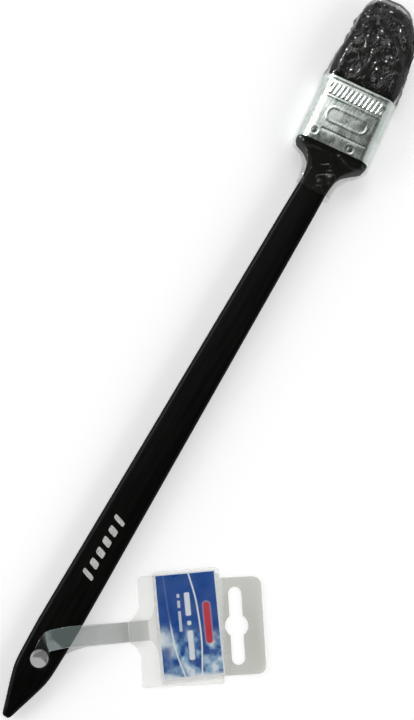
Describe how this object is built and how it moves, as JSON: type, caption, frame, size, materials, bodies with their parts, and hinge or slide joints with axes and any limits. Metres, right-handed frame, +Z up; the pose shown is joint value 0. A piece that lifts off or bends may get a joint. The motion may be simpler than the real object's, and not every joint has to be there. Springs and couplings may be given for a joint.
{
  "type": "long-handled flat paint brush",
  "caption": "Long flat-handled paint brush with a pointed tail, nailed tin ferrule, domed bristle head in clear film, and a folded clear hang tag looped through its tail hole.",
  "frame": {"origin": "middle of the whole object's footprint, on the surface that it lies on", "axes": "+X along the handle from tail to bristle head, +Y away from the hang tag, +Z up from the surface"},
  "size_m": [0.3908, 0.1134, 0.0157],
  "materials": {
    "handle_lacquer": "black lacquer, satin gloss",
    "ferrule_tin": "bright tinplate with fluted band",
    "nail_steel": "plain steel",
    "epoxy_resin": "cured resin",
    "plug_wood": "plain",
    "bristle": "black filament",
    "clear_film": "crinkled clear film",
    "clear_sheet": "clear glossy sheet",
    "label_print": "gloss print in blue with plain bars"
  },
  "bodies": {
    "brush": {"handle": "handle_lacquer", "ferrule": "ferrule_tin", "ferrule_nail_1": "nail_steel", "ferrule_nail_2": "nail_steel", "ferrule_nail_3": "nail_steel", "ferrule_nail_4": "nail_steel", "epoxy_setting": "epoxy_resin", "spacer_plug": "plug_wood", "bristle_root_front": "bristle", "bristle_root_back": "bristle", "film_wrap": "clear_film"},
    "bristle_head": {"bristle_tuft_front": "bristle", "bristle_tuft_back": "bristle"},
    "tag_loop": {"tag_strap": "clear_sheet"},
    "tag_card": {"tag_front_panel": "clear_sheet", "tag_back_panel": "clear_sheet", "printed_label": "label_print"}
  },
  "joints": [
    {"name": "bristle_flex", "type": "hinge", "parent": "brush", "child": "bristle_head", "pos_m": [0.14484, 0.03707, 0.00809], "axis": [0.0906, -0.9959, 0.0011], "range_deg": [-6, 25], "stiffness_Nm_per_rad": 0.6, "deforming": ["film_wrap"]},
    {"name": "tag_swing", "type": "hinge", "parent": "brush", "child": "tag_loop", "pos_m": [-0.16711, 0.03298, 0.00445], "axis": [0, 0, 1], "range_deg": [-265, 4]},
    {"name": "tag_flap", "type": "hinge", "parent": "tag_loop", "child": "tag_card", "pos_m": [-0.13775, 0.00483, 0.00125], "axis": [-0.8192, -0.5736, 0], "range_deg": [0, 90]}
  ]
}
